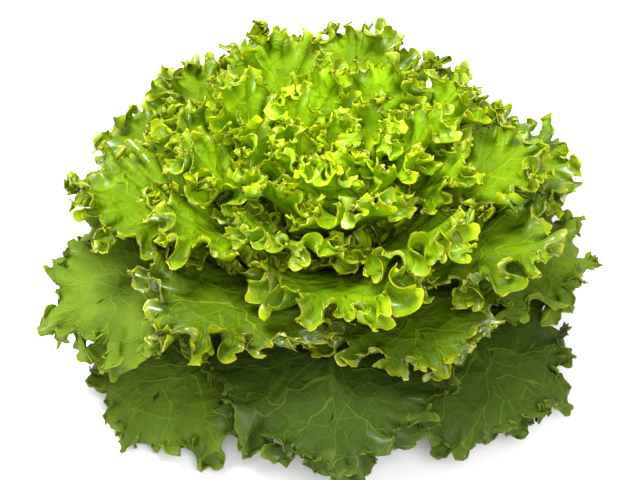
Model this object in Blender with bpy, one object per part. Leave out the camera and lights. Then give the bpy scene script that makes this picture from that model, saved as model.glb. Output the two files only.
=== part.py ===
"""A head of green leaf lettuce, cut off at the butt and standing on it.

The leaves grow in one spiral round a short stem. Each lies on a shell of its own, and the shells
nest in each other: the first stand upright in the heart, the last arch over and droop to the table.
A leaf's blade is laid out flat, waved along its edge, and bent onto its shell. Its rank says which
shell that is, from 0 for the first leaf of the spiral to 1 for the last, and a wave is a change of rank.
"""

import math
import random

import bpy
import numpy as np

# The head. Metres, +Z up, origin at the middle of the cut face of the butt.
HEAD_RADIUS = 0.150
HEAD_HEIGHT = 0.122
SIDE_FULLNESS = 0.64
FIRST_RIM_ANGLE = math.radians(0.8)
LAST_RIM_ANGLE = math.radians(88)
RIM_CROWDING = 1.6
HEART_HOLLOW_DEPTH = 0.019
HEART_HOLLOW_RADIUS = 0.034
FIRST_HALF_BEND = 1e-4
LAST_HALF_BEND = math.radians(44)
BEND_GROWTH = 1.3

# The stem, which is short and tapers up into the bud of the heart.
BUTT_RADIUS = 0.0165
BUTT_HEIGHT = 0.005
STEM_FOOT_RADIUS = 0.0195
STEM_FOOT_HEIGHT = 0.007
STEM_TIP_RADIUS = 0.0075
STEM_TIP_HEIGHT = 0.042
BUD_RADIUS = 0.0070
BUD_TIP_RADIUS = 0.0030
BUD_HEIGHT = 0.078
CORE_SHOULDER = 0.0020
CORE_SWELL = 0.0006
STEM_SIDES = 24
STEM_CLEARANCE = 0.0022
GAP = 0.0004

# The leaves, counted from the middle of the heart outwards. A few have a length and a turn of their own.
LEAF_COUNT = 50
HEART_LEAVES = 11
OUTER_LEAVES = 9
GOLDEN_ANGLE = math.radians(137.5)
LAST_LEAF_TURN = math.radians(228)
TURN_SPREAD = math.radians(4)
OWN_TURNS = {29: -2, 41: 2, 44: 8, 47: 1, 49: -3}
OWN_LENGTHS = {
    24: 0.97, 27: 1.05, 30: 1.02, 32: 0.97, 33: 1.08, 37: 1.03, 38: 1.01, 41: 1.13, 44: 1.08, 46: 0.88, 47: 1.05, 49: 1.02,
}  # fmt: skip
LENGTH_SPREAD = 0.07
FIRST_SPREAD = 0.92
LAST_SPREAD = 0.76
WIDEST_SHARE = 0.6
WIDEST_TURN = math.radians(60)

# A blade: its outline, its rib and its thickness.
FOOT_HALF_WIDTH = 0.0085
FOOT_NARROWING = 1.4
TOP_BROADENING = 0.30
OUTLINE_WANDER = 0.045
RIB_LENGTH_SHARE = 0.80
RIB_WIDTH_SHARE = 0.5
FIRST_RIB_DEPTH = 0.0002
LAST_RIB_DEPTH = 0.0018
BLADE_THICKNESS = 0.0007
LOWEST_SHEET = 0.0012
FLOOR_SOFTNESS = 0.0016

# Its waves, no deeper than some steps from one leaf's shell to the next, so that leaves don't cross.
OUTER_WAVES = 9
MIDDLE_WAVES = 8
HEART_WAVES = 6
WAVE_POINTS = 4
WAVE_DEPTH = 0.009
WAVE_SWELL = 0.13
TIP_WAVE_STEPS = 1.7
SIDE_WAVE_STEPS = 0.50
WAVE_FALL = math.radians(30)
WAVE_START = 0.22
CALM_SHARE = 0.22
LOBE_DEPTH = 0.15
REACHES = np.array([0.0, 0.58, 1.0])

LEAF_GREENS = {
    "outer": (0.075, 0.190, 0.020, 1.0),
    "middle": (0.200, 0.420, 0.020, 1.0),
    "heart": (0.400, 0.600, 0.040, 1.0),
    "stem": (0.620, 0.700, 0.380, 1.0),
}
ROUGHNESS = 0.45


def rank_of(index):
    return index / (LEAF_COUNT - 1)


def between(first, last, rank):
    """A size that grows evenly from the first leaf of the spiral to the last."""
    return first + (last - first) * rank


def rim(rank):
    """Where the tip of a leaf of this rank lies: (distance from the axis, height). All rims make the dome."""
    share = np.sign(rank) * np.abs(rank) ** RIM_CROWDING
    angle = between(FIRST_RIM_ANGLE, LAST_RIM_ANGLE, share)
    radius = HEAD_RADIUS * np.sign(np.sin(angle)) * np.abs(np.sin(angle)) ** SIDE_FULLNESS
    hollow = HEART_HOLLOW_DEPTH * np.exp(-((radius / HEART_HOLLOW_RADIUS) ** 2))
    return radius, HEAD_HEIGHT * np.cos(angle) - hollow


def rim_step(rank):
    """How far apart the tips of this leaf's shell and the next one are."""
    (radius, height), (next_radius, next_height) = rim(rank), rim(rank + rank_of(1))
    return math.hypot(next_radius - radius, next_height - height)


def foot(rank):
    """Where a leaf of this rank leaves the stem: (distance from the axis, height)."""
    radius = between(STEM_TIP_RADIUS, STEM_FOOT_RADIUS, rank)
    height = between(STEM_TIP_HEIGHT, STEM_FOOT_HEIGHT, rank)
    return radius, height


def arc(rank):
    """The arc from foot to rim: (rise at the foot in radians, bend in radians per metre, length)."""
    foot_radius, foot_height = foot(rank)
    rim_radius, rim_height = rim(rank)
    chord = np.hypot(rim_radius - foot_radius, rim_height - foot_height)
    slope = np.arctan2(rim_height - foot_height, rim_radius - foot_radius)
    half_bend = np.maximum(LAST_HALF_BEND * np.maximum(rank, 0) ** BEND_GROWTH, FIRST_HALF_BEND)
    length = chord * half_bend / np.sin(half_bend)
    return slope + half_bend, 2 * half_bend / length, length


def above_table(height):
    """Keeps a sheet that would dip under the table lying on it."""
    over = height - LOWEST_SHEET
    return LOWEST_SHEET + 0.5 * (over + np.sqrt(over**2 + FLOOR_SOFTNESS**2))


def shell_radius(along, rank):
    """The shell's distance from the axis, a length along its arc."""
    rise, bend, _ = arc(rank)
    return foot(rank)[0] + (np.sin(rise) - np.sin(rise - bend * along)) / bend


def turn_across(across, along, rank):
    """The angle round the axis from a leaf's midline to a point across from it, kept within a limit."""
    return WIDEST_TURN * np.tanh(across / shell_radius(along, rank) / WIDEST_TURN)


def on_shell(turn, across, along, rank):
    """The point of shell rank that lies along its arc and across to one side of the ray at turn."""
    rise, bend, _ = arc(rank)
    radius = shell_radius(along, rank)
    height = foot(rank)[1] + (np.cos(rise - bend * along) - np.cos(rise)) / bend
    angle = turn + turn_across(across, along, rank)
    return np.stack([radius * np.cos(angle), radius * np.sin(angle), above_table(height)], axis=-1)


class Leaf:
    """One leaf of the spiral, with its own size and its own waves."""

    def __init__(self, index):
        draw = random.Random(1000 + index)
        self.index = index
        self.rank = rank_of(index)
        self.turn = LAST_LEAF_TURN + (index - LEAF_COUNT + 1) * GOLDEN_ANGLE
        self.turn += draw.uniform(-TURN_SPREAD, TURN_SPREAD) + math.radians(OWN_TURNS.get(index, 0))
        drawn_length = draw.uniform(1 - LENGTH_SPREAD, 1 + LENGTH_SPREAD)
        self.length = float(arc(self.rank)[2]) * OWN_LENGTHS.get(index, drawn_length)
        widest = float(shell_radius(WIDEST_SHARE * self.length, self.rank))
        self.half_width = between(FIRST_SPREAD, LAST_SPREAD, self.rank) * widest * draw.uniform(0.93, 1.05)
        self.waves = HEART_WAVES if index < HEART_LEAVES else MIDDLE_WAVES
        if index >= LEAF_COUNT - OUTER_LEAVES:
            self.waves = OUTER_WAVES
        self.first_wave = draw.choice((-1, 1))
        self.unevenness = draw.uniform(0, 2 * math.pi)
        self.swell = draw.uniform(0, 2 * math.pi)

    def margin(self, place):
        """The blade's edge laid out flat, from -1 at the foot past 0 at the tip to 1: (across, along)."""
        share = place + OUTLINE_WANDER * np.sin(3 * math.pi * place + self.unevenness) * (1 - place**2)
        angle = math.pi * np.abs(share)
        blade = np.sin(angle) ** (1 + FOOT_NARROWING * share**2) * (1 + TOP_BROADENING * np.cos(angle))
        across = self.half_width * blade + FOOT_HALF_WIDTH * (1 - np.cos(angle)) / 2
        along = self.length * (1 + np.cos(angle)) / 2
        return np.sign(share) * across, along

    def wave_depth(self, place, reach, across, along):
        """How much the rank changes from the middle of a wave to its crest."""
        fall = np.exp(-((turn_across(across, along, self.rank) / WAVE_FALL) ** 2))
        steps = np.minimum(between(SIDE_WAVE_STEPS, TIP_WAVE_STEPS, fall), WAVE_DEPTH / rim_step(self.rank))
        swell = 1 - WAVE_SWELL + WAVE_SWELL * np.sin(4 * math.pi * place + self.swell)
        onset = np.clip((reach - WAVE_START) / (1 - WAVE_START), 0, 1) ** 1.5
        return steps * rank_of(1) * swell * onset * self.liveliness(place)

    def liveliness(self, place):
        """1 round the blade, and down to 0 at the foot, where there are no waves and no lobes."""
        return np.clip((1 - np.abs(place)) / CALM_SHARE, 0, 1) ** 1.5

    def sheet(self, places, reaches):
        """Points of the blade's middle surface, at places round it and reaches from rib (0) to edge (1)."""
        place, reach = np.meshgrid(places, reaches, indexing="ij")
        edge_across, edge_along = self.margin(place)
        rib_along = RIB_LENGTH_SHARE * self.length * (1 - np.abs(place)) ** 0.9
        phase = math.pi * self.waves * place
        lobe = 1 - LOBE_DEPTH * reach**3 * np.cos(phase) ** 2 * self.liveliness(place)
        across = reach * lobe * edge_across
        along = rib_along + reach * lobe * (edge_along - rib_along)
        depth = self.wave_depth(place, reach, across, along)
        rank = self.rank + self.first_wave * depth * np.sin(phase)
        return on_shell(self.turn, across, along, rank)

    def rib_depth(self, places, reaches):
        """How far the rib stands out under the blade: most at the foot, nothing at the tip or the edge."""
        place, reach = np.meshgrid(places, reaches, indexing="ij")
        deepest = between(FIRST_RIB_DEPTH, LAST_RIB_DEPTH, self.rank)
        return deepest * np.abs(place) ** 1.5 * np.clip(1 - reach / RIB_WIDTH_SHARE, 0, 1) ** 2


def grid_triangles(columns, rows):
    """Triangles of a sheet whose first row, the rib, is shared by its left and right half."""
    number = np.arange(columns * rows).reshape(columns, rows)
    number[:, 0] = np.minimum(number[:, 0], number[::-1, 0])
    a, b = number[:-1, :-1], number[1:, :-1]
    c, d = number[1:, 1:], number[:-1, 1:]
    faces = np.concatenate([np.stack([a, b, c], -1).reshape(-1, 3), np.stack([a, c, d], -1).reshape(-1, 3)])
    edge = np.concatenate([number[::-1, -1], number[0, -2::-1], number[-1, 1:-1]])
    return faces, edge


def vertex_normals(points, faces):
    """Unit normals at the points, each the sum of its triangles' normals."""
    corners = points[faces]
    face_normals = np.cross(corners[:, 1] - corners[:, 0], corners[:, 2] - corners[:, 0])
    normals = np.zeros_like(points)
    for corner in range(3):
        np.add.at(normals, faces[:, corner], face_normals)
    length = np.linalg.norm(normals, axis=1, keepdims=True)
    return normals / np.where(length > 0, length, 1)


def leaf_mesh(leaf):
    """A closed mesh of one leaf: the sheet's two faces, split alike, and the thin wall round its edge."""
    places = np.linspace(-1, 1, leaf.waves * WAVE_POINTS + 1)
    points = leaf.sheet(places, REACHES).reshape(-1, 3)
    faces, edge = grid_triangles(len(places), len(REACHES))
    normals = vertex_normals(points, faces)
    depth = BLADE_THICKNESS / 2 + leaf.rib_depth(places, REACHES).reshape(-1)
    inner = points + normals * BLADE_THICKNESS / 2
    outer = points - normals * depth[:, None]
    below = len(points)
    after = np.roll(edge, -1)
    wall = [np.stack([after, edge, edge + below], -1), np.stack([after, edge + below, after + below], -1)]
    faces = np.concatenate([faces, faces[:, ::-1] + below, *wall])
    used, renumbered = np.unique(faces, return_inverse=True)
    mesh = bpy.data.meshes.new(f"leaf_{leaf.index:02d}")
    mesh.from_pydata(np.concatenate([inner, outer])[used].tolist(), [], renumbered.reshape(-1, 3).tolist())
    mesh.validate()
    return mesh


def turned_mesh(name, profile):
    """A closed solid of revolution about Z from (radius, height) pairs, top to bottom, flat at both ends."""
    mesh = bpy.data.meshes.new(name)
    points = [
        (radius * math.cos(angle), radius * math.sin(angle), height)
        for radius, height in profile
        for angle in np.linspace(0, 2 * math.pi, STEM_SIDES, endpoint=False)
    ]
    rings = [range(i * STEM_SIDES, (i + 1) * STEM_SIDES) for i in range(len(profile))]
    faces = [list(rings[0]), list(reversed(rings[-1]))]
    for upper, lower in zip(rings, rings[1:]):
        for side in range(STEM_SIDES):
            after = (side + 1) % STEM_SIDES
            faces.append([lower[side], lower[after], upper[after], upper[side]])
    mesh.from_pydata(points, [], faces)
    return mesh


def new_object(name, mesh, material):
    made = bpy.data.objects.new(name, mesh)
    mesh.materials.append(material)
    bpy.context.scene.collection.objects.link(made)
    return made


def make_material(name, colour):
    material = bpy.data.materials.new(name)
    material.use_nodes = True
    shader = material.node_tree.nodes["Principled BSDF"]
    shader.inputs["Base Color"].default_value = colour
    shader.inputs["Roughness"].default_value = ROUGHNESS
    return material


def split_height():
    """Where the stem ends and the core of the heart begins, between two leaves' feet."""
    last_fused, first_free = foot(rank_of(HEART_LEAVES - 1))[1], foot(rank_of(HEART_LEAVES))[1]
    return (last_fused + first_free) / 2


def radius_of_feet(height):
    """How far from the axis the feet of the leaves are at a height."""
    rank = (STEM_TIP_HEIGHT - height) / (STEM_TIP_HEIGHT - STEM_FOOT_HEIGHT)
    return foot(rank)[0]


def make_stem(material):
    """The short stem just inside the feet of the leaves, with the flat cut face of the butt at the bottom."""
    top = split_height() - GAP
    profile = [
        (radius_of_feet(top) - STEM_CLEARANCE, top),
        (radius_of_feet(STEM_FOOT_HEIGHT) - STEM_CLEARANCE, STEM_FOOT_HEIGHT),
        (BUTT_RADIUS, BUTT_HEIGHT),
        (BUTT_RADIUS, 0.0),
    ]
    return new_object("stem", turned_mesh("stem", profile), material)


def make_heart(material):
    """The heart: the youngest leaves, grown together with the tip of the stem and its bud."""
    base = split_height() + GAP
    shoulder = base + CORE_SHOULDER
    profile = [
        (BUD_TIP_RADIUS, BUD_HEIGHT),
        (BUD_RADIUS, (BUD_HEIGHT + STEM_TIP_HEIGHT) / 2),
        (radius_of_feet(STEM_TIP_HEIGHT) + CORE_SWELL, STEM_TIP_HEIGHT),
        (radius_of_feet(shoulder) + CORE_SWELL, shoulder),
        (radius_of_feet(base) - STEM_CLEARANCE, base),
    ]
    heart = new_object("heart", turned_mesh("heart", profile), material)
    young = bpy.data.collections.new("young_leaves")
    bpy.context.scene.collection.children.link(young)
    for index in range(HEART_LEAVES):
        young.objects.link(bpy.data.objects.new(f"young_{index}", leaf_mesh(Leaf(index))))
    union = heart.modifiers.new("union", "BOOLEAN")
    union.operation = "UNION"
    union.operand_type = "COLLECTION"
    union.collection = young
    union.solver = "MANIFOLD"
    bpy.context.view_layer.update()
    evaluated = heart.evaluated_get(bpy.context.evaluated_depsgraph_get())
    heart.data = bpy.data.meshes.new_from_object(evaluated)
    heart.modifiers.clear()
    for leaf in list(young.objects):
        bpy.data.objects.remove(leaf)
    bpy.data.collections.remove(young)
    return heart


def main():
    for old in list(bpy.data.objects):
        bpy.data.objects.remove(old)
    materials = {name: make_material(name, colour) for name, colour in LEAF_GREENS.items()}
    make_stem(materials["stem"])
    make_heart(materials["heart"])
    for index in range(HEART_LEAVES, LEAF_COUNT):
        tone = "outer" if index >= LEAF_COUNT - OUTER_LEAVES else "middle"
        new_object(f"leaf_{index:02d}", leaf_mesh(Leaf(index)), materials[tone])


main()
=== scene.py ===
"""A head of green leaf lettuce, finished over its CAD solids.

Every leaf grows on the shell that its solid has, by the same formulas and the same numbers, and gets
what the solid leaves out: frills, teeth and curls along the edge, a thin blade that puffs up between
its veins, and a rib that fades into it. Lengths are metres, +Z is up and the origin is the middle of
the cut butt.
"""

import math
import random
from typing import NamedTuple

import bpy
import numpy as np
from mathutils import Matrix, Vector


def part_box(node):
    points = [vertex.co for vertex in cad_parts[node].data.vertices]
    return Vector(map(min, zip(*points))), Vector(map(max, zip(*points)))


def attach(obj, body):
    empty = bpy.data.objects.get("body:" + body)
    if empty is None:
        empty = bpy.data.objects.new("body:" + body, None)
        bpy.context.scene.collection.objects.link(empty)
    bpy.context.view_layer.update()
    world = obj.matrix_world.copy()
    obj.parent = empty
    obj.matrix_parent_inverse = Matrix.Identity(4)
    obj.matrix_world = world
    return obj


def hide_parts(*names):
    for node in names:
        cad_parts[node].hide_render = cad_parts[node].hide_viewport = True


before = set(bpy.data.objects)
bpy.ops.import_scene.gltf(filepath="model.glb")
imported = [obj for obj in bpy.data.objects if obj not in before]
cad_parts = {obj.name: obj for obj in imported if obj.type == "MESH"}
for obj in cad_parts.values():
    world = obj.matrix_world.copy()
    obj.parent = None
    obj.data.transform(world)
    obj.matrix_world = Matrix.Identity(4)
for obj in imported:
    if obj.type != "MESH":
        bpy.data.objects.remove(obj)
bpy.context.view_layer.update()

# The head, as in the solids.
HEAD_RADIUS = 0.150
HEAD_HEIGHT = 0.122
SIDE_FULLNESS = 0.64
FIRST_RIM_ANGLE = math.radians(0.8)
LAST_RIM_ANGLE = math.radians(88)
RIM_CROWDING = 1.6
HEART_HOLLOW_DEPTH = 0.019
HEART_HOLLOW_RADIUS = 0.034
FIRST_HALF_BEND = 1e-4
LAST_HALF_BEND = math.radians(44)
BEND_GROWTH = 1.3
STEM_FOOT_RADIUS = 0.0195
STEM_FOOT_HEIGHT = 0.007
STEM_TIP_RADIUS = 0.0075
STEM_TIP_HEIGHT = 0.042
STEM_CLEARANCE = 0.0022
BUTT_RADIUS = 0.0165
BUTT_HEIGHT = 0.005

# The leaves, as in the solids, counted from the middle of the heart outwards.
LEAF_COUNT = 50
HEART_LEAVES = 11
OUTER_LEAVES = 9
GOLDEN_ANGLE = math.radians(137.5)
LAST_LEAF_TURN = math.radians(228)
TURN_SPREAD = math.radians(4)
OWN_TURNS = {29: -2, 41: 2, 44: 8, 47: 1, 49: -3}
OWN_LENGTHS = {
    24: 0.97, 27: 1.05, 30: 1.02, 32: 0.97, 33: 1.08, 37: 1.03,
    38: 1.01, 41: 1.13, 44: 1.08, 46: 0.88, 47: 1.05, 49: 1.02,
}  # fmt: skip
FIRST_SEED = 1000
LENGTH_SPREAD = 0.07
WIDTH_RANGE = (0.93, 1.05)
FIRST_SPREAD = 0.92
LAST_SPREAD = 0.76
WIDEST_SHARE = 0.6
WIDEST_TURN = math.radians(60)
FOOT_HALF_WIDTH = 0.0085
FOOT_NARROWING = 1.4
TOP_BROADENING = 0.30
OUTLINE_WANDER = 0.045
OUTLINE_WANDERINGS = 3
RIB_LENGTH_SHARE = 0.80
RIB_WIDTH_SHARE = 0.5
RIB_CROWDING = 0.9
FIRST_RIB_DEPTH = 0.0002
LAST_RIB_DEPTH = 0.0018
RIB_TAPER_POWER = 1.5
RIB_FLANK_POWER = 2
LOWEST_SHEET = 0.0012
FLOOR_SOFTNESS = 0.0016
OUTER_WAVES = 9
MIDDLE_WAVES = 8
HEART_WAVES = 6
WAVE_DEPTH = 0.009
WAVE_SWELL = 0.13
WAVE_SWELLINGS = 4
TIP_WAVE_STEPS = 1.7
SIDE_WAVE_STEPS = 0.50
WAVE_FALL = math.radians(30)
WAVE_START = 0.22
WAVE_RISE_POWER = 1.5
CALM_SHARE = 0.22
LOBE_DEPTH = 0.15
LOBE_RISE_POWER = 3

# What the finished leaves add: a finer grid, a blade that thins towards its edge, frills, curls and ages,
# whose darkening is partly painted shade.
EDGE_STEP = 0.0014
EVEN_COLUMNS = 0.06
HIDDEN_START = 0.38
HIDDEN_DENSITY = 0.20
ROWS = (4, 4, 4)
STRIDES = (4, 2, 1)
ROW_CROWDING = 1.5
TRIAL_PLACES = 1201
TRIAL_REACHES = 8
BLADE_THICKNESS = 0.00055
EDGE_THICKNESS = 0.00030
THINNING_START = 0.7
MIDDLE_RANK = 0.62
DRIFT_LENGTHS = (1.7, 0.9, 0.5)
PHASE_WANDER = 2.2
# Shifts of single leaves' ages: they darken or lighten those leaves as painted shade and painted light.
OWN_AGE_AND_SHADE_SHIFTS = {
    31: -0.07, 33: -0.05, 34: -0.05, 36: 0.05, 37: -0.10, 38: -0.12, 40: -0.12,
    41: 0.05, 44: 0.11, 46: 0.02, 47: 0.03, 49: -0.06,
}  # fmt: skip
OWN_PLACE_STEP = 0.1

# The stem and the bud: the same sizes as in the solids, and what the finish adds.
BUD_RADIUS = 0.007
BUD_TIP_RADIUS = 0.003
BUD_HEIGHT = 0.078
BUD_POINT_RADIUS = 0.0004
BUD_POINT_LENGTH = 0.003
CORE_CLEARANCE = 0.001
STEM_SIDES = 96
STEM_TOP_INSET = 0.001
BUTT_CHAMFER = 0.0006
CORNER_CUTS = 2
CUT_SHARES = (0.25, 0.75)
SCARS_ROUND = 8
SCAR_TURN = 900
SCAR_DEPTH_SHARE = 0.02
LOWEST_SCAR = 0.001
BUD_LEAF_SIZE = (0.0042, 0.0004, 0.0120)
BUD_LEAF_RINGS = 7
BUD_LEAF_SIDES = 10
BUD_LEAF_POLE = 0.15
BUD_LEAF_FOOT_SHARE = 0.4
BUD_LEAF_CUP = 0.35
BUD_LEAF_LEAN = 0.6
BUD_LEAVES = 13
BUD_LEAF_STEP = 0.0016
BUD_LEAF_SPREAD = (BUD_RADIUS - BUD_TIP_RADIUS) / BUD_LEAVES
BUD_LEAF_LEANING = 0.03
BUD_LEAF_GROWTH = 0.05
FIRST_BUD_LEAF_RADIUS = 0.4 * BUD_TIP_RADIUS
FIRST_BUD_LEAF_HEIGHT = BUD_HEIGHT - 0.6 * BUD_LEAF_SIZE[2]
FIRST_BUD_LEAF_LEAN = 0.05
FIRST_BUD_LEAF_SCALE = 0.7


class Frill(NamedTuple):
    """One size of frill: how long its waves are, and how far they move the edge.

    The height moves it out of the blade, the overhang along the edge, and the inset towards the rib. The
    frill sets in at the reach called start, and the unevenness is how much it varies along the edge.
    """

    length: float
    height: float
    overhang: float
    inset: float
    start: float
    unevenness: float


class Curl(NamedTuple):
    """How a margin rolls outwards: from which reach, by what angle, and how that varies along the edge."""

    start: float
    turn: float
    spread: float
    step: float


YOUNG_FRILLS = [
    Frill(0.0140, 0.0048, 0.0018, 0.0022, 0.12, 0.5),
    Frill(0.0076, 0.0019, 0.0006, 0.0028, 0.45, 0.7),
    Frill(0.0038, 0.0004, 0.0001, 0.0012, 0.80, 1.0),
]
GROWN_FRILLS = [
    Frill(0.0190, 0.0063, 0.0030, 0.0038, 0.10, 0.5),
    Frill(0.0092, 0.0026, 0.0009, 0.0046, 0.40, 0.7),
    Frill(0.0046, 0.0007, 0.0002, 0.0020, 0.80, 1.0),
]
OLD_FRILLS = [
    Frill(0.0250, 0.0044, 0.0046, 0.0090, 0.45, 0.5),
    Frill(0.0105, 0.0015, 0.0012, 0.0034, 0.72, 0.8),
    Frill(0.0050, 0.0006, 0.0003, 0.0018, 0.88, 1.0),
]
YOUNG_CURL = Curl(0.60, math.radians(25), math.radians(30), 0.015)
GROWN_CURL = Curl(0.48, math.radians(30), math.radians(42), 0.020)
OLD_CURL = Curl(0.60, math.radians(0), math.radians(20), 0.040)


def rank_of(index):
    return index / (LEAF_COUNT - 1)


def between(first, last, share):
    """The value that lies a share of the way from the first one to the last."""
    return first + (last - first) * share


def rim(rank):
    """Where the tip of a leaf of this rank lies: (distance from the axis, height)."""
    share = np.sign(rank) * np.abs(rank) ** RIM_CROWDING
    angle = between(FIRST_RIM_ANGLE, LAST_RIM_ANGLE, share)
    radius = HEAD_RADIUS * np.sign(np.sin(angle)) * np.abs(np.sin(angle)) ** SIDE_FULLNESS
    hollow = HEART_HOLLOW_DEPTH * np.exp(-((radius / HEART_HOLLOW_RADIUS) ** 2))
    return radius, HEAD_HEIGHT * np.cos(angle) - hollow


def rim_step(rank):
    """How far apart the tips of this leaf's shell and the next one are."""
    (radius, height), (next_radius, next_height) = rim(rank), rim(rank + rank_of(1))
    return math.hypot(next_radius - radius, next_height - height)


def foot(rank):
    """Where a leaf of this rank leaves the stem: (distance from the axis, height)."""
    return between(STEM_TIP_RADIUS, STEM_FOOT_RADIUS, rank), between(STEM_TIP_HEIGHT, STEM_FOOT_HEIGHT, rank)


def arc(rank):
    """The arc from foot to rim: (rise at the foot in radians, bend in radians per metre, length)."""
    foot_radius, foot_height = foot(rank)
    rim_radius, rim_height = rim(rank)
    chord = np.hypot(rim_radius - foot_radius, rim_height - foot_height)
    slope = np.arctan2(rim_height - foot_height, rim_radius - foot_radius)
    half_bend = np.maximum(LAST_HALF_BEND * np.maximum(rank, 0) ** BEND_GROWTH, FIRST_HALF_BEND)
    length = chord * half_bend / np.sin(half_bend)
    return slope + half_bend, 2 * half_bend / length, length


def above_table(height):
    """Keeps a sheet that would dip under the table lying on it."""
    over = height - LOWEST_SHEET
    return LOWEST_SHEET + 0.5 * (over + np.sqrt(over**2 + FLOOR_SOFTNESS**2))


def shell_radius(along, rank):
    """The shell's distance from the axis, a length along its arc."""
    rise, bend, _ = arc(rank)
    return foot(rank)[0] + (np.sin(rise) - np.sin(rise - bend * along)) / bend


def turn_across(across, along, rank):
    """The angle round the axis from a leaf's midline to a point across from it, kept within a limit."""
    return WIDEST_TURN * np.tanh(across / shell_radius(along, rank) / WIDEST_TURN)


def on_shell(turn, across, along, rank):
    """The point of shell rank that lies along its arc and across to one side of the ray at turn."""
    rise, bend, _ = arc(rank)
    radius = shell_radius(along, rank)
    height = foot(rank)[1] + (np.cos(rise - bend * along) - np.cos(rise)) / bend
    angle = turn + turn_across(across, along, rank)
    return np.stack([radius * np.cos(angle), radius * np.sin(angle), height], axis=-1)


def unit(vectors):
    length = np.linalg.norm(vectors, axis=-1, keepdims=True)
    return vectors / np.where(length > 1e-12, length, 1)


def eased(share):
    share = np.clip(share, 0, 1)
    return share * share * (3 - 2 * share)


def onset(reach, start):
    """0 up to a reach from the rib, and from there smoothly up to 1 at the edge."""
    return eased((reach - start) / (1 - start))


def blended(first, last, share):
    """A set of sizes between two sets of the same kind."""
    return type(first)(*(between(a, b, share) for a, b in zip(first, last)))


class Drift:
    """A smooth random number between -1 and 1 along an edge, with knots a step apart."""

    def __init__(self, draw, step, half_edge):
        self.step, self.half_edge = step, half_edge
        self.knots = np.array([draw.uniform(-1, 1) for _ in range(int(2 * half_edge / step) + 4)])

    def __call__(self, run):
        spot = (run + self.half_edge) / self.step + 0.5
        before = np.clip(np.floor(spot).astype(int), 0, len(self.knots) - 2)
        share = eased(spot - before)
        return self.knots[before] * (1 - share) + self.knots[before + 1] * share


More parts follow.
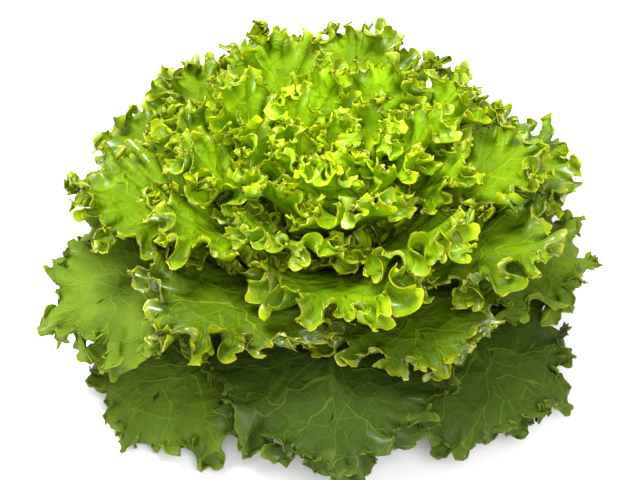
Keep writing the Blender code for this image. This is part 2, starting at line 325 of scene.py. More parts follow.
class Leaf:
    """One leaf of the spiral, with its own size, waves, frills and curl."""

    def __init__(self, index):
        draw = random.Random(FIRST_SEED + index)
        self.index = index
        self.rank = rank_of(index)
        # The age darkens the skin: along the rank it is partly real ageing and partly painted shade, and the
        # shifts of single leaves are painted shade and light.
        self.age_and_shade = self.rank + OWN_AGE_AND_SHADE_SHIFTS.get(index, 0)
        self.turn = LAST_LEAF_TURN + (index - LEAF_COUNT + 1) * GOLDEN_ANGLE
        self.turn += draw.uniform(-TURN_SPREAD, TURN_SPREAD) + math.radians(OWN_TURNS.get(index, 0))
        drawn_length = draw.uniform(1 - LENGTH_SPREAD, 1 + LENGTH_SPREAD)
        self.length = float(arc(self.rank)[2]) * OWN_LENGTHS.get(index, drawn_length)
        widest = float(shell_radius(WIDEST_SHARE * self.length, self.rank))
        self.half_width = between(FIRST_SPREAD, LAST_SPREAD, self.rank) * widest * draw.uniform(*WIDTH_RANGE)
        self.waves = HEART_WAVES if index < HEART_LEAVES else MIDDLE_WAVES
        if index >= LEAF_COUNT - OUTER_LEAVES:
            self.waves = OUTER_WAVES
        self.first_wave = draw.choice((-1, 1))
        self.unevenness = draw.uniform(0, 2 * math.pi)
        self.swell = draw.uniform(0, 2 * math.pi)
        self.set_growth(draw)

    def set_growth(self, draw):
        """Its own sizes of frill and its own curl, with the drifts that make them uneven."""
        self.trial_places = np.linspace(-1, 1, TRIAL_PLACES)
        edge = np.stack(self.margin(self.trial_places), axis=-1)
        run = np.concatenate([[0], np.cumsum(np.linalg.norm(np.diff(edge, axis=0), axis=1))])
        self.trial_run = run - np.interp(0, self.trial_places, run)
        half_edge = float(np.abs(self.trial_run).max())
        if self.rank < MIDDLE_RANK:
            share = self.rank / MIDDLE_RANK
            frills, curls = (YOUNG_FRILLS, GROWN_FRILLS), (YOUNG_CURL, GROWN_CURL)
        else:
            share = eased((self.rank - MIDDLE_RANK) / (1 - MIDDLE_RANK))
            frills, curls = (GROWN_FRILLS, OLD_FRILLS), (GROWN_CURL, OLD_CURL)
        self.frills = [blended(first, last, share) for first, last in zip(*frills)]
        self.curl = blended(*curls, share)
        self.curl_drift = Drift(draw, self.curl.step, half_edge)
        self.frill_drifts = [
            [Drift(draw, frill.length * lengths, half_edge) for lengths in DRIFT_LENGTHS]
            for frill in self.frills
        ]

    def run_at(self, place):
        """How far along the flat edge a place is from the tip, below 0 on one side."""
        return np.interp(place, self.trial_places, self.trial_run)

    def margin(self, place):
        """The blade's edge laid out flat, from -1 at the foot past 0 at the tip to 1: (across, along)."""
        wander = OUTLINE_WANDER * np.sin(OUTLINE_WANDERINGS * math.pi * place + self.unevenness)
        share = place + wander * (1 - place**2)
        angle = math.pi * np.abs(share)
        blade = np.sin(angle) ** (1 + FOOT_NARROWING * share**2) * (1 + TOP_BROADENING * np.cos(angle))
        across = self.half_width * blade + FOOT_HALF_WIDTH * (1 - np.cos(angle)) / 2
        along = self.length * (1 + np.cos(angle)) / 2
        return np.sign(share) * across, along

    def liveliness(self, place):
        """1 round the blade, and down to 0 at the foot, where there are no waves and no lobes."""
        return np.clip((1 - np.abs(place)) / CALM_SHARE, 0, 1) ** WAVE_RISE_POWER

    def wave_depth(self, place, reach, across, along):
        """How much the rank changes from the middle of a wave to its crest."""
        fall = np.exp(-((turn_across(across, along, self.rank) / WAVE_FALL) ** 2))
        steps = np.minimum(between(SIDE_WAVE_STEPS, TIP_WAVE_STEPS, fall), WAVE_DEPTH / rim_step(self.rank))
        swell = 1 - WAVE_SWELL + WAVE_SWELL * np.sin(WAVE_SWELLINGS * math.pi * place + self.swell)
        rising = np.clip((reach - WAVE_START) / (1 - WAVE_START), 0, 1) ** WAVE_RISE_POWER
        return steps * rank_of(1) * swell * rising * self.liveliness(place)

    def flat(self, place, reach):
        """The blade laid out flat, with the big lobes of its outline: (across, along)."""
        edge_across, edge_along = self.margin(place)
        rib_along = RIB_LENGTH_SHARE * self.length * (1 - np.abs(place)) ** RIB_CROWDING
        phase = math.pi * self.waves * place
        lobe = 1 - LOBE_DEPTH * reach**LOBE_RISE_POWER * np.cos(phase) ** 2 * self.liveliness(place)
        return reach * lobe * edge_across, rib_along + reach * lobe * (edge_along - rib_along)

    def waved(self, place, reach):
        """The middle surface as the solid has it."""
        across, along = self.flat(place, reach)
        phase = math.pi * self.waves * place
        rank = self.rank + self.first_wave * self.wave_depth(place, reach, across, along) * np.sin(phase)
        return on_shell(self.turn, across, along, rank)

    def rib_depth(self, place, reach):
        """How far the rib stands out under the blade: most at the foot, nothing at the tip or the edge."""
        deepest = between(FIRST_RIB_DEPTH, LAST_RIB_DEPTH, self.rank)
        flank = np.clip(1 - reach / RIB_WIDTH_SHARE, 0, 1) ** RIB_FLANK_POWER
        return deepest * np.abs(place) ** RIB_TAPER_POWER * flank

    def curled(self, points, place, reach):
        """The points with the margin rolled outwards, each step to the edge turned about the edge's run."""
        turn = self.curl.turn + self.curl.spread * self.curl_drift(self.run_at(place))
        turn = turn * self.liveliness(place) * onset(reach, self.curl.start)
        steps = np.diff(points, axis=1)
        sideways = unit(np.gradient(points, axis=0))
        axis = unit(sideways[:, :-1] + sideways[:, 1:])
        angle = ((turn[:, :-1] + turn[:, 1:]) / 2)[..., None]
        along_axis = axis * np.sum(axis * steps, axis=-1, keepdims=True)
        rolled = steps * np.cos(angle) + np.cross(steps, axis) * np.sin(angle)
        rolled += along_axis * (1 - np.cos(angle))
        return np.concatenate([points[:, :1], points[:, :1] + np.cumsum(rolled, axis=1)], axis=1)

    def frilled(self, points, place, reach, frill, drifts):
        """The points with one size of frill added, in the frame of the surface that they make so far."""
        run = self.run_at(place)
        wander, vigour, bite = (drift(run) for drift in drifts)
        phase = 2 * math.pi * run / frill.length + PHASE_WANDER * wander
        sideways = unit(np.gradient(points, axis=0))
        outwards = np.gradient(points, axis=1)
        normal = unit(np.cross(sideways, outwards))
        outwards = np.cross(normal, sideways)
        rising = onset(reach, frill.start) * self.liveliness(place)
        amount = rising * (1 + frill.unevenness * vigour)
        late = onset(reach, (frill.start + 1) / 2) * self.liveliness(place)
        notch = np.abs(np.cos(phase)) * late * (1 + frill.unevenness * bite / 2)
        return (
            points
            + normal * (frill.height * amount * np.sin(phase))[..., None]
            - sideways * (frill.overhang * amount * rising * np.sin(2 * phase))[..., None]
            - outwards * (frill.inset * notch)[..., None]
        )

    def sheet(self, place, reach):
        """The finished middle surface, on a grid of places round it and reaches from rib to edge."""
        points = self.curled(self.waved(place, reach), place, reach)
        for frill, drifts in zip(self.frills, self.frill_drifts):
            points = self.frilled(points, place, reach, frill, drifts)
        points[..., 2] = above_table(points[..., 2])
        return points

    def column_places(self):
        """Places for the columns: alike on both sides, close together at the frills, few near the foot."""
        half = self.trial_places[len(self.trial_places) // 2 :]
        grid = np.meshgrid(self.trial_places, np.linspace(0, 1, TRIAL_REACHES), indexing="ij")
        edge = self.sheet(*grid)[:, -1]
        steps = np.linalg.norm(np.diff(edge, axis=0), axis=1)
        steps = (steps + steps[::-1])[len(steps) // 2 :]
        steps *= between(1, HIDDEN_DENSITY, eased((half[1:] - HIDDEN_START) / HIDDEN_START))
        travelled = np.concatenate([[0], np.cumsum(steps)])
        share = between(travelled / travelled[-1], half, EVEN_COLUMNS)
        half_columns = STRIDES[0] * round(travelled[-1] / EDGE_STEP / (2 * STRIDES[0]))
        right = np.interp(np.linspace(0, 1, half_columns + 1), share, half)
        return np.concatenate([-right[:0:-1], right])


def grid_triangles(columns):
    """Triangles of a sheet whose first row, the rib, is shared by its left and right half.

    The rows next to the edge use every column, the ones inside them every other, and the inmost every fourth.
    """
    number = np.arange(columns * sum(ROWS)).reshape(columns, -1)
    number[:, 0] = np.minimum(number[:, 0], number[::-1, 0])
    corners, first = [], 0
    for rows, stride in zip(ROWS, STRIDES):
        part = number[::stride, first : first + rows]
        a, b, c, d = part[:-1, :-1], part[1:, :-1], part[1:, 1:], part[:-1, 1:]
        corners += [(a, b, c), (a, c, d)]
        if first:
            a, b = number[: -2 * stride : 2 * stride, first - 1], number[2 * stride :: 2 * stride, first - 1]
            c, d, e = part[2::2, 0], part[1::2, 0], part[:-2:2, 0]
            corners += [(a, b, d), (b, c, d), (a, d, e)]
        first += rows
    edge = np.concatenate([number[::-1, -1], number[0, -2::-1], number[-1, 1:-1]])
    return np.concatenate([np.stack(three, -1).reshape(-1, 3) for three in corners]), edge


def vertex_normals(points, faces):
    """Unit normals at the points, each the sum of its triangles' normals."""
    corners = points[faces]
    face_normals = np.cross(corners[:, 1] - corners[:, 0], corners[:, 2] - corners[:, 0])
    normals = np.zeros_like(points)
    for corner in range(3):
        np.add.at(normals, faces[:, corner], face_normals)
    return unit(normals)


def leaf_parts(leaf):
    """One leaf as a closed mesh: its points, its triangles and what its finish reads at each point."""
    places = leaf.column_places()
    reaches = 1 - (1 - np.linspace(0, 1, sum(ROWS))) ** ROW_CROWDING
    place, reach = np.meshgrid(places, reaches, indexing="ij")
    grid = leaf.sheet(place, reach)
    across, along = leaf.flat(place, reach)
    steps = np.linalg.norm(np.diff(grid, axis=1), axis=-1)
    to_edge = np.pad(np.cumsum(steps[:, ::-1], axis=1)[:, ::-1], ((0, 0), (0, 1)))
    points = grid.reshape(-1, 3)
    faces, edge = grid_triangles(len(places))
    normals = vertex_normals(points, faces)
    half = between(BLADE_THICKNESS, EDGE_THICKNESS, onset(reach, THINNING_START)).reshape(-1) / 2
    inner = points + normals * half[:, None]
    outer = points - normals * (half + leaf.rib_depth(place, reach).reshape(-1))[:, None]
    below = len(points)
    after = np.roll(edge, -1)
    wall = [np.stack([after, edge, edge + below], -1), np.stack([after, edge + below, after + below], -1)]
    faces = np.concatenate([faces, faces[:, ::-1] + below, *wall])
    used, renumbered = np.unique(faces, return_inverse=True)
    blade = np.stack([across, along, np.full_like(across, leaf.index * OWN_PLACE_STEP)], -1)
    course = np.stack([np.abs(leaf.run_at(place)), reach, to_edge], -1)
    under = np.repeat([0.0, 1.0], below)
    length_share = np.tile((along / leaf.length).ravel(), 2)
    layers = {
        "blade": np.tile(blade.reshape(-1, 3), (2, 1)),
        "course": np.tile(course.reshape(-1, 3), (2, 1)),
        "kind": np.stack([np.full_like(under, leaf.age_and_shade), under, length_share], -1),
    }
    layers = {name: values[used] for name, values in layers.items()}
    return np.concatenate([inner, outer])[used], renumbered.reshape(-1, 3), layers


def joined(parts):
    """Several meshes' points, triangles and layers as one."""
    starts = np.cumsum([0] + [len(points) for points, _, _ in parts])
    points = np.concatenate([points for points, _, _ in parts])
    faces = np.concatenate([faces + start for (_, faces, _), start in zip(parts, starts)])
    layers = {name: np.concatenate([layers[name] for _, _, layers in parts]) for name in parts[0][2]}
    return points, faces, layers


def new_piece(name, points, faces, layers, material):
    mesh = bpy.data.meshes.new(name)
    mesh.from_pydata(points.tolist(), [], faces.tolist())
    mesh.polygons.foreach_set("use_smooth", np.ones(len(faces), bool))
    for layer, values in layers.items():
        mesh.attributes.new(layer, "FLOAT_VECTOR", "POINT").data.foreach_set("vector", values.reshape(-1))
    mesh.materials.append(material)
    piece = bpy.data.objects.new(name, mesh)
    bpy.context.scene.collection.objects.link(piece)
    return piece


# Materials: expressions on sockets, which add the nodes they need.


class Wire:
    """A number at a socket of a material's tree. Arithmetic on it adds Math nodes."""

    def __init__(self, maker, socket):
        self.maker, self.socket = maker, socket

    def math(self, operation, *others):
        return self.maker.node("ShaderNodeMath", {"operation": operation}, self, *others).out()

    def __add__(self, other):
        return self.math("ADD", other)

    __radd__ = __add__

    def __mul__(self, other):
        return self.math("MULTIPLY", other)

    __rmul__ = __mul__

    def __sub__(self, other):
        return self.math("SUBTRACT", other)

    def __rsub__(self, other):
        return self.maker.node("ShaderNodeMath", {"operation": "SUBTRACT"}, other, self).out()

    def __truediv__(self, other):
        return self.math("DIVIDE", other)

    def __abs__(self):
        return self.math("ABSOLUTE")


class Made:
    """A node that has been added, and its outputs."""

    def __init__(self, maker, node):
        self.maker, self.node = maker, node

    def out(self, name=0):
        return Wire(self.maker, self.node.outputs[name])


class Maker:
    """Adds nodes to one tree."""

    def __init__(self, tree):
        self.tree = tree

    def node(self, kind, settings=None, *values, **named):
        """A new node with its settings, and with values or links in its sockets, by place or by name."""
        node = self.tree.nodes.new(kind)
        for name, value in (settings or {}).items():
            setattr(node, name, value)
        for socket, value in zip(node.inputs, values):
            self.feed(socket, value)
        for name, value in named.items():
            self.feed(node.inputs[name.replace("_", " ")], value)
        return Made(self, node)

    def feed(self, socket, value):
        if isinstance(value, Wire):
            self.tree.links.new(value.socket, socket)
        elif isinstance(value, Made):
            self.tree.links.new(value.node.outputs[0], socket)
        elif value is not None:
            socket.default_value = value

    def layer(self, name):
        """A mesh layer as a vector, and its three numbers."""
        attribute = self.node("ShaderNodeAttribute", {"attribute_name": name})
        split = self.node("ShaderNodeSeparateXYZ", None, attribute.out("Vector"))
        return attribute.out("Vector"), [split.out(axis) for axis in "XYZ"]

    def mix(self, factor, first, second):
        """A colour between two."""
        made = self.node("ShaderNodeMix", {"data_type": "RGBA"})
        for name, value in (("Factor_Float", factor), ("A_Color", first), ("B_Color", second)):
            self.feed(next(s for s in made.node.inputs if s.identifier == name), value)
        return Wire(self, next(s for s in made.node.outputs if s.identifier == "Result_Color"))

    def step(self, value, low, high):
        """0 below low and 1 above high, smooth between them."""
        return self.node("ShaderNodeMapRange", {"interpolation_type": "SMOOTHSTEP"}, value, low, high).out()

    def noise(self, vector, scale, detail):
        """Random clouds, from how many lie along a metre and how detailed they are."""
        return self.node("ShaderNodeTexNoise", None, Vector=vector, Scale=scale, Detail=detail)

    def border(self, vector, scale):
        """How far a spot is from the nearest border between random cells."""
        nearest = {"feature": "DISTANCE_TO_EDGE"}
        return self.node("ShaderNodeTexVoronoi", nearest, Vector=vector, Scale=scale).out()


def new_material(name):
    """An empty material, and the maker of its nodes."""
    material = bpy.data.materials.new(name)
    material.use_nodes = True
    material.node_tree.nodes.clear()
    return material, Maker(material.node_tree)


def colour(red, green, blue):
    return (red, green, blue, 1.0)


class Tone(NamedTuple):
    """The colours of one class of leaves from its youngest on, how they glow, and how their veins show; the
    old colour is partly painted shade.
    """

    blade: tuple
    shade: tuple
    # the old colour: the darker green of old leaves, made darker still as painted shade
    old_and_shaded: tuple
    vein: tuple
    margin: tuple
    edge: tuple
    glow: tuple
    glow_share: float
    vein_share: float
    net_share: float
    roughness: float
    puff: float
    wax: float


class Net(NamedTuple):
    """A net of fine veins round puffed cells, with its scale in cells per metre and its widths in cells."""

    scale: float
    vein: tuple
    vein_share: float
    puff: tuple
    puff_share: float


class Band(NamedTuple):
    """A coloured band along the edge: where it fades, how much its width wanders, and how strong it is."""

    fade: tuple
    wander: float
    strength: float


class Spot(NamedTuple):
    """What the finish of a leaf reads at a spot.

    The blade is where the spot lies on the flat blade, in metres, with a third number of the leaf's own.
    The next ones are metres from the rib, metres along the edge from the tip, the reach from 0 on the rib
    to 1 at the edge, and metres to the edge. The age grows along the spiral and darkens the skin, partly as
    real ageing and partly as painted shade; under is 1 on the underside,
    and the length share goes from 0 at the foot to 1 at the tip.
    """

    blade: Wire
    across: Wire
    run: Wire
    reach: Wire
    to_edge: Wire
    age_and_shade: Wire
    under: Wire
    length_share: Wire


# The old colours are partly painted shade: far darker than the blade, for leaves that sit in shade.
TONES = {
    "heart_leaf": Tone(
        blade=colour(0.320, 0.540, 0.002),
        shade=colour(0.190, 0.370, 0.001),
        old_and_shaded=colour(0.260, 0.480, 0.002),
        vein=colour(0.430, 0.600, 0.012),
        margin=colour(0.640, 0.660, 0.002),
        edge=colour(0.740, 0.680, 0.006),
        glow=colour(0.540, 0.720, 0.002),
        glow_share=0.42,
        vein_share=0.35,
        net_share=0.22,
        roughness=0.36,
        puff=1.0,
        wax=1.0,
    ),
    "bright_leaf": Tone(
        blade=colour(0.265, 0.480, 0.001),
        shade=colour(0.115, 0.260, 0.001),
        old_and_shaded=colour(0.022, 0.050, 0.001),
        vein=colour(0.340, 0.510, 0.008),
        margin=colour(0.590, 0.610, 0.002),
        edge=colour(0.720, 0.640, 0.006),
        glow=colour(0.500, 0.700, 0.002),
        glow_share=0.42,
        vein_share=0.40,
        net_share=0.22,
        roughness=0.36,
        puff=1.0,
        wax=1.0,
    ),
    "outer_leaf": Tone(
        blade=colour(0.092, 0.154, 0.005),
        shade=colour(0.044, 0.086, 0.003),
        old_and_shaded=colour(0.010, 0.024, 0.002),
        vein=colour(0.165, 0.255, 0.018),
        margin=colour(0.130, 0.180, 0.006),
        edge=colour(0.250, 0.280, 0.012),
        glow=colour(0.200, 0.310, 0.006),
        glow_share=0.12,
        vein_share=0.50,
        net_share=0.24,
        roughness=0.50,
        puff=0.85,
        wax=0.15,
    ),
}

# The pattern of a leaf. A FADE, FLANK, FORKING or REACH says where it starts and where it is complete.
STIRRING = (60.0, 1.0)
STIR_SHIFT = (0.004, 0.004, 0.0)
SIDE_VEIN_SPACING = 0.026
SIDE_VEIN_WANDER = 1.1
SIDE_VEIN_FORK = 0.25
SIDE_VEIN_FORKING = (0.35, 0.80)
SIDE_VEIN_GATHERING = 0.15
SIDE_VEIN_FLANK = (0.00012, 0.00060)
SIDE_VEIN_FADE = (0.70, 0.95)
RIB_TAPER = 0.0050
RIB_TIP_HALF_WIDTH = 0.0004
RIB_FLANK = (0.30, 1.0)
RIB_FADE = (0.45, 0.80)
RIB_SHARE = 0.7
COARSE_NET = Net(scale=56.0, vein=(0.006, 0.026), vein_share=1.0, puff=(0.0, 0.30), puff_share=1.0)
FINE_NET = Net(scale=170.0, vein=(0.02, 0.06), vein_share=0.3, puff=(0.0, 0.35), puff_share=0.35)
PATCHES = (45.0, 3.0)
PATCH_FLANK = (0.36, 0.66)
SPECKS = (240.0, 1.0)
MARGIN_BAND = Band(fade=(0.0010, 0.0090), wander=0.004, strength=0.55)
EDGE_BAND = Band(fade=(0.0005, 0.0013), wander=0.0008, strength=0.50)
# How much age and painted shade dull the veins, the underside and the edge bands, and how much they stop the
# glow.
AGE_AND_SHADE_DULLING = 0.6
UNDERSIDE_PALENESS = 0.20
FOOT_FADE = (0.28, 0.0)
FOOT_COLOUR = colour(0.55, 0.66, 0.30)
PUCKERS = (150.0, 2.0)
PUCKER_SHARE = 1.1
BUMP_STRENGTH = 0.9
BUMP_HEIGHT = 0.0011
ROUGHNESS_SPREAD = 0.14
UNDERSIDE_ROUGHNESS = 0.14
LEAF_SPECULAR = 0.06
WAX_SPOTS = (80.0, 2.0)
WAX_FLANK = (0.40, 0.55)
WAX_REACH = (0.42, 0.80)
WAX_ROUGHNESS = 0.24
VEIN_OPACITY = 0.35
AGE_AND_SHADE_OPACITY = 0.8


def read_spot(maker):
    blade, (across, _, _) = maker.layer("blade")
    _, (run, reach, to_edge) = maker.layer("course")
    _, (age_and_shade, under, length_share) = maker.layer("kind")
    return Spot(blade, across, run, reach, to_edge, age_and_shade, under, length_share)


def side_veins(maker, spot, stir):
    """Veins that run from the rib towards the edge, drawn apart on the way, wandering and forked."""
    lane = (spot.run / SIDE_VEIN_SPACING + stir * SIDE_VEIN_WANDER).math("FRACT") - 0.5
    fork = maker.step(spot.reach, *SIDE_VEIN_FORKING) * SIDE_VEIN_FORK
    gap = abs(abs(lane) - fork) * SIDE_VEIN_SPACING * (spot.reach + SIDE_VEIN_GATHERING)
    return (1 - maker.step(gap, *SIDE_VEIN_FLANK)) * (1 - maker.step(spot.reach, *SIDE_VEIN_FADE))


def rib_line(maker, spot):
    """The rib, which narrows from the foot and fades before the tip."""
    half_width = (1 - spot.length_share) * RIB_TAPER + RIB_TIP_HALF_WIDTH
    flank = maker.step(abs(spot.across) / half_width, *RIB_FLANK)
    return (1 - flank) * (1 - maker.step(spot.length_share, *RIB_FADE))


def leaf_skin(maker, spot, tone, veins, aged_and_shaded):
    """The colour of the skin: patches of shade, a pale foot, paler veins and a yellow edge, darkened and
    dulled by age and by painted shade.
    """
    fresh_and_lit = 1 - aged_and_shaded * AGE_AND_SHADE_DULLING
    patch = maker.step(maker.noise(spot.blade, *PATCHES), *PATCH_FLANK)
    skin = maker.mix(patch, tone.shade, tone.blade)
    # Darker towards the oldest leaves: partly their own darker green, partly painted shade.
    skin = maker.mix(aged_and_shaded, skin, tone.old_and_shaded)
    skin = maker.mix(spot.under * fresh_and_lit * UNDERSIDE_PALENESS, skin, tone.vein)
    skin = maker.mix(veins * fresh_and_lit, skin, tone.vein)
    skin = maker.mix(maker.step(spot.length_share, *FOOT_FADE), skin, FOOT_COLOUR)
    speck = maker.noise(spot.blade, *SPECKS).out()
    for band, tint in ((MARGIN_BAND, tone.margin), (EDGE_BAND, tone.edge)):
        inside = maker.step(spot.to_edge + speck * band.wander, *band.fade)
        skin = maker.mix((1 - inside) * fresh_and_lit * band.strength, skin, tint)
    return skin


def make_leaf_material(name, tone, youngest, oldest):
    """Skin with veins, puffs and puckers, a coat of wax in spots, and light that comes through the blade."""
    material, maker = new_material(name)
    spot = read_spot(maker)
    stir = maker.noise(spot.blade, *STIRRING)
    shifting = {"operation": "MULTIPLY_ADD"}
    stirred = maker.node("ShaderNodeVectorMath", shifting, stir.out("Color"), STIR_SHIFT, spot.blade).out()
    nets = [(net, maker.border(stirred, net.scale)) for net in (COARSE_NET, FINE_NET)]
    coarse_vein, fine_vein = ((1 - maker.step(border, *net.vein)) * net.vein_share for net, border in nets)
    coarse_puff, fine_puff = (maker.step(border, *net.puff) * net.puff_share for net, border in nets)
    net_veins = coarse_vein.math("MAXIMUM", fine_vein) * tone.net_share
    veins = (side_veins(maker, spot, stir.out()) * tone.vein_share).math("MAXIMUM", net_veins)
    veins = veins.math("MAXIMUM", rib_line(maker, spot) * RIB_SHARE)
    # 0 on the youngest leaf of the class and 1 on the oldest; it drives the darkening, which is partly
    # painted shade.
    aged_and_shaded = maker.step(spot.age_and_shade, youngest, oldest)
    pucker = maker.noise(spot.blade, *PUCKERS).out()
    puffs = coarse_puff + fine_puff + pucker * PUCKER_SHARE
    relief = (puffs - veins) * (1 - spot.under * 2) * tone.puff
    bump = maker.node("ShaderNodeBump", None, Strength=BUMP_STRENGTH, Distance=BUMP_HEIGHT, Height=relief)
    roughness = pucker * ROUGHNESS_SPREAD + spot.under * UNDERSIDE_ROUGHNESS
    wax_spots = maker.step(maker.noise(spot.blade, *WAX_SPOTS), *WAX_FLANK)
    shader = maker.node(
        "ShaderNodeBsdfPrincipled",
        None,
        Base_Color=leaf_skin(maker, spot, tone, veins, aged_and_shaded),
        Roughness=roughness + (tone.roughness - ROUGHNESS_SPREAD / 2),
        Specular_IOR_Level=LEAF_SPECULAR,
        Coat_Weight=wax_spots * maker.step(spot.reach, *WAX_REACH) * tone.wax,
        Coat_Roughness=WAX_ROUGHNESS,
        Normal=bump,
    )
    glow = maker.node("ShaderNodeBsdfTranslucent", None, Color=tone.glow)
    thin = (1 - veins * VEIN_OPACITY) * (1 - aged_and_shaded * AGE_AND_SHADE_OPACITY) * tone.glow_share
    mixed = maker.node("ShaderNodeMixShader", None, thin, shader, glow)
    maker.node("ShaderNodeOutputMaterial", None, mixed)
    return material


# The flesh of the stem, and the cut face of its butt.
MOTTLING = (180.0, 3.0)
FLESH_SHADE = colour(0.46, 0.58, 0.16)
FLESH_COLOUR = colour(0.62, 0.70, 0.34)
FLESH_ROUGHNESS = 0.35
FLESH_ROUGHNESS_SPREAD = 0.2
FLESH_BUMP_STRENGTH = 0.5
FLESH_BUMP_HEIGHT = 0.0006
CUT_FADE = (0.0004, 0.0010)
CUT_COLOUR = colour(0.74, 0.76, 0.52)
CUT_SHARE = 0.6
VESSEL_RADIUS = 0.0118
VESSEL_RING_FADE = (0.0004, 0.0014)
VESSEL_SCALE = 520.0
VESSEL_FLANK = (0.15, 0.40)
VESSEL_COLOUR = colour(0.40, 0.44, 0.16)
VESSEL_SHARE = 0.7
VESSEL_DEPTH = 0.5
BROWNED_FADE = (0.0160, 0.0185)
BROWNED_WANDER = 0.003
BROWNED_COLOUR = colour(0.42, 0.26, 0.12)
BROWNED_SHARE = 0.7


def make_flesh_material():
    """The stem's moist flesh, with a ring of sap vessels and a browned rim on the cut face of the butt."""
    material, maker = new_material("stem_flesh")
    coordinates = maker.node("ShaderNodeTexCoord").out("Object")
    level = (1.0, 1.0, 0.0)
    flat = maker.node("ShaderNodeVectorMath", {"operation": "MULTIPLY"}, coordinates, level).out()
    radius = maker.node("ShaderNodeVectorMath", {"operation": "LENGTH"}, flat).out("Value")
    height = maker.node("ShaderNodeSeparateXYZ", None, coordinates).out("Z")
    cut = 1 - maker.step(height, *CUT_FADE)
    dots = maker.node("ShaderNodeTexVoronoi", None, Vector=flat, Scale=VESSEL_SCALE).out("Distance")
    ring = 1 - maker.step(abs(radius - VESSEL_RADIUS), *VESSEL_RING_FADE)
    vessels = ring * (1 - maker.step(dots, *VESSEL_FLANK)) * cut
    mottle = maker.noise(coordinates, *MOTTLING).out()
    browned = maker.step(radius + mottle * BROWNED_WANDER, *BROWNED_FADE) * cut
    skin = maker.mix(mottle, FLESH_SHADE, FLESH_COLOUR)
    skin = maker.mix(cut * CUT_SHARE, skin, CUT_COLOUR)
    skin = maker.mix(vessels * VESSEL_SHARE, skin, VESSEL_COLOUR)
    skin = maker.mix(browned * BROWNED_SHARE, skin, BROWNED_COLOUR)
    relief = mottle - vessels * VESSEL_DEPTH
    bump = maker.node(
        "ShaderNodeBump", None, Strength=FLESH_BUMP_STRENGTH, Distance=FLESH_BUMP_HEIGHT, Height=relief
    )
    roughness = mottle * FLESH_ROUGHNESS_SPREAD + FLESH_ROUGHNESS
    shader = maker.node("ShaderNodeBsdfPrincipled", None, Base_Color=skin, Roughness=roughness, Normal=bump)
    maker.node("ShaderNodeOutputMaterial", None, shader)
    return material


def place_piece(piece, node):
    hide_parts(node)
    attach(piece, "root")


def make_leaves(materials):
    heart = joined([leaf_parts(Leaf(index)) for index in range(HEART_LEAVES)])
    place_piece(new_piece("heart_leaves", *heart, materials["heart_leaf"]), "heart")
    for index in range(HEART_LEAVES, LEAF_COUNT):
        slot = "outer_leaf" if index >= LEAF_COUNT - OUTER_LEAVES else "bright_leaf"
        piece = new_piece(f"fine_leaf_{index:02d}", *leaf_parts(Leaf(index)), materials[slot])
        place_piece(piece, f"leaf_{index:02d}")


def turned(profile, sides):
    """A closed shape turned about Z from (radius, height) pairs, top first: its points and triangles."""
    angles = np.linspace(0, 2 * math.pi, sides, endpoint=False)
    radius, height = np.array(profile).T
    heights = np.outer(height, np.ones(sides))
    rings = [np.outer(radius, np.cos(angles)), np.outer(radius, np.sin(angles)), heights]
    points = np.concatenate([np.stack(rings, -1).reshape(-1, 3), [[0, 0, height[0]], [0, 0, height[-1]]]])
    number = np.arange(len(radius) * sides).reshape(-1, sides)
    after = np.roll(number, -1, axis=1)
    top, bottom = np.full(sides, len(points) - 2), np.full(sides, len(points) - 1)
    faces = [
        np.stack(corners, -1).reshape(-1, 3)
        for corners in (
            (number[1:], after[1:], after[:-1]), (number[1:], after[:-1], number[:-1]),
            (number[0], after[0], top), (after[-1], number[-1], bottom),
        )
    ]  # fmt: skip
    return points, np.concatenate(faces)


def feet_radius(height):
    """How far from the axis the feet of the leaves are at a height."""
    return foot((STEM_TIP_HEIGHT - height) / (STEM_TIP_HEIGHT - STEM_FOOT_HEIGHT))[0]


def rounded(profile):
    """A profile with its corners rounded off, by cutting each of them a few times."""
    points = np.array(profile)
    for _ in range(CORNER_CUTS):
        cuts = [between(a, b, share) for a, b in zip(points, points[1:]) for share in CUT_SHARES]
        points = np.array([points[0], *cuts, points[-1]])
    return points


def make_stem(material):
    """The stem with its cut butt, and the core of the heart up to the bud, which tiny leaves stand round."""
    top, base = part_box("stem")[1].z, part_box("heart")[0].z
    side = [(feet_radius(height) - STEM_CLEARANCE, height) for height in (top, STEM_FOOT_HEIGHT)]
    butt = [(BUTT_RADIUS, BUTT_HEIGHT), (BUTT_RADIUS, BUTT_CHAMFER), (BUTT_RADIUS - BUTT_CHAMFER, 0.0)]
    lid = (side[0][0] - STEM_TOP_INSET, top)
    points, faces = turned([lid, *rounded(side + butt)], STEM_SIDES)
    scars = np.sin(np.arctan2(points[:, 1], points[:, 0]) * SCARS_ROUND + points[:, 2] * SCAR_TURN)
    inwards = 1 - SCAR_DEPTH_SHARE * (1 + scars) * (points[:, 2] > LOWEST_SCAR)
    points[:, :2] *= inwards[:, None]
    place_piece(new_piece("fine_stem", points, faces, {}, material), "stem")
    core = [
        (BUD_POINT_RADIUS, BUD_HEIGHT),
        (BUD_TIP_RADIUS, BUD_HEIGHT - BUD_POINT_LENGTH),
        (BUD_RADIUS, (BUD_HEIGHT + STEM_TIP_HEIGHT) / 2),
        (feet_radius(STEM_TIP_HEIGHT), STEM_TIP_HEIGHT),
        (feet_radius(base) - CORE_CLEARANCE, base),
    ]
    piece = new_piece("heart_core", *turned(rounded(core), STEM_SIDES), {}, material)
    place_piece(piece, "heart")
    place_piece(make_bud_leaves(material), "heart")


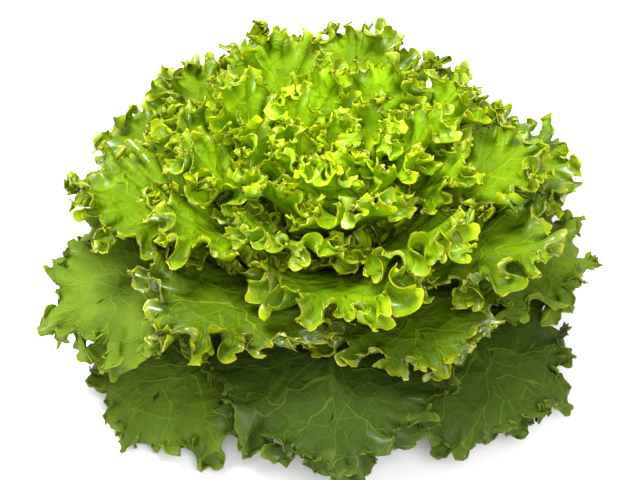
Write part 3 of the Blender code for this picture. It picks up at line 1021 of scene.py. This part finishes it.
def new_bud_leaf():
    """One tiny leaf standing on the origin, cupped towards +Y: a flattened ball, a few dozen faces."""
    polar = np.linspace(BUD_LEAF_POLE, math.pi - BUD_LEAF_POLE, BUD_LEAF_RINGS)
    points, faces = turned(np.stack([np.sin(polar), (1 + np.cos(polar)) / 2], -1), BUD_LEAF_SIDES)
    width, thickness, length = BUD_LEAF_SIZE
    up = points[:, 2]
    across = points[:, 0] * between(BUD_LEAF_FOOT_SHARE, 1, up)
    cup = BUD_LEAF_CUP * width * (across**2 - BUD_LEAF_LEAN * up**2)
    points = np.stack([across * width, points[:, 1] * thickness + cup, up * length], axis=-1)
    mesh = bpy.data.meshes.new("bud_leaf")
    mesh.from_pydata(points.tolist(), [], faces.tolist())
    mesh.polygons.foreach_set("use_smooth", np.ones(len(faces), bool))
    return bpy.data.objects.new("bud_leaf", mesh)


def make_bud_leaves(material):
    """Tiny leaves down the bud, a golden angle apart: instances that geometry nodes set on a spiral."""
    group = bpy.data.node_groups.new("bud_leaves", "GeometryNodeTree")
    maker = Maker(group)
    leaf = new_bud_leaf()
    values = {"Count": BUD_LEAVES, "Leaf": leaf, "Skin": material}
    kinds = {"Count": "NodeSocketInt", "Leaf": "NodeSocketObject", "Skin": "NodeSocketMaterial"}
    inputs = {
        name: group.interface.new_socket(name, in_out="INPUT", socket_type=kind).identifier
        for name, kind in kinds.items()
    }
    group.interface.new_socket("Geometry", in_out="OUTPUT", socket_type="NodeSocketGeometry")
    given = maker.node("NodeGroupInput")
    number = maker.node("GeometryNodeInputIndex").out()
    angle = number * GOLDEN_ANGLE
    radius = number * BUD_LEAF_SPREAD + FIRST_BUD_LEAF_RADIUS
    height = FIRST_BUD_LEAF_HEIGHT - number * BUD_LEAF_STEP
    lean = number * BUD_LEAF_LEANING + FIRST_BUD_LEAF_LEAN
    scale = number * BUD_LEAF_GROWTH + FIRST_BUD_LEAF_SCALE
    spot = (radius * angle.math("COSINE"), radius * angle.math("SINE"), height)
    place = maker.node("ShaderNodeCombineXYZ", None, *spot)
    pose = maker.node("ShaderNodeCombineXYZ", None, lean, 0.0, angle + math.pi / 2)
    turn = maker.node("FunctionNodeEulerToRotation", None, pose)
    points = maker.node("GeometryNodePoints", None, given.out("Count"), place)
    shape = maker.node("GeometryNodeObjectInfo", None, given.out("Leaf")).out("Geometry")
    leaves = maker.node(
        "GeometryNodeInstanceOnPoints", None, points, Instance=shape, Rotation=turn, Scale=scale
    )
    realised = maker.node("GeometryNodeRealizeInstances", None, leaves)
    skinned = maker.node("GeometryNodeSetMaterial", None, realised, Material=given.out("Skin"))
    maker.node("NodeGroupOutput", None, skinned)
    piece = bpy.data.objects.new("bud_leaves", bpy.data.meshes.new("bud_leaves"))
    for made in (leaf, piece):
        bpy.context.scene.collection.objects.link(made)
    modifier = piece.modifiers.new("bud_leaves", "NODES")
    modifier.node_group = group
    for name, value in values.items():
        modifier[inputs[name]] = value
    bpy.context.view_layer.update()
    evaluated = piece.evaluated_get(bpy.context.evaluated_depsgraph_get())
    piece.data = bpy.data.meshes.new_from_object(evaluated)
    piece.modifiers.clear()
    bpy.data.objects.remove(leaf)
    return piece


# The studio: a white world, a pale floor, a window, a fill light from the front, and the camera.
WORLD_STRENGTH = 0.90
FLOOR_REACH = 4.0
FLOOR_COLOUR = colour(0.92, 0.92, 0.92)
FLOOR_ROUGHNESS = 0.9
LAMPS = {
    "window": {"place": (-0.40, 0.15, 1.40), "size": 0.6, "power": 50.0},
    "fill": {"place": (0.3, -1.3, 1.3), "size": 1.0, "power": 32.0},
}
LAMP_TARGET = Vector((0, 0, 0.05))
CAMERA_ELEVATION = math.radians(42)
CAMERA_DISTANCE = 0.793
CAMERA_TARGET = Vector((-0.004, 0, 0.0360))
CAMERA_LENS = 85


def make_world():
    world = bpy.data.worlds.new("studio")
    bpy.context.scene.world = world
    world.use_nodes = True
    background = world.node_tree.nodes["Background"]
    background.inputs["Color"].default_value = colour(1.0, 1.0, 1.0)
    background.inputs["Strength"].default_value = WORLD_STRENGTH


def make_floor():
    material, maker = new_material("pale_floor")
    look = {"Base_Color": FLOOR_COLOUR, "Roughness": FLOOR_ROUGHNESS}
    shader = maker.node("ShaderNodeBsdfPrincipled", None, **look)
    maker.node("ShaderNodeOutputMaterial", None, shader)
    floor = bpy.data.meshes.new("floor")
    corners = [(x * FLOOR_REACH, y * FLOOR_REACH, 0) for x, y in ((-1, -1), (1, -1), (1, 1), (-1, 1))]
    floor.from_pydata(corners, [], [(0, 1, 2, 3)])
    floor.materials.append(material)
    stage = bpy.data.objects.new("floor", floor)
    bpy.context.scene.collection.objects.link(stage)


def make_lamp(name, place, size, power):
    light = bpy.data.lights.new(name, "AREA")
    light.size, light.energy = size, power
    lamp = bpy.data.objects.new(name, light)
    lamp.location = place
    lamp.rotation_mode = "QUATERNION"
    lamp.rotation_quaternion = (LAMP_TARGET - Vector(place)).to_track_quat("-Z", "Y")
    bpy.context.scene.collection.objects.link(lamp)


def make_studio():
    bpy.context.scene.view_settings.view_transform = "Standard"
    make_world()
    make_floor()
    for name, lamp in LAMPS.items():
        make_lamp(name, **lamp)


def make_camera():
    back = Vector((0, -math.cos(CAMERA_ELEVATION), math.sin(CAMERA_ELEVATION)))
    camera = bpy.data.objects.new("camera", bpy.data.cameras.new("camera"))
    camera.data.lens = CAMERA_LENS
    camera.location = CAMERA_TARGET + back * CAMERA_DISTANCE
    camera.rotation_mode = "QUATERNION"
    camera.rotation_quaternion = (-back).to_track_quat("-Z", "Y")
    bpy.context.scene.collection.objects.link(camera)
    bpy.context.scene.camera = camera


def main():
    make_camera()
    make_studio()
    firsts = (0, HEART_LEAVES, LEAF_COUNT - OUTER_LEAVES, LEAF_COUNT)
    materials = {
        name: make_leaf_material(name, tone, rank_of(first), rank_of(last))
        for (name, tone), first, last in zip(TONES.items(), firsts, firsts[1:])
    }
    make_leaves(materials)
    make_stem(make_flesh_material())


main()
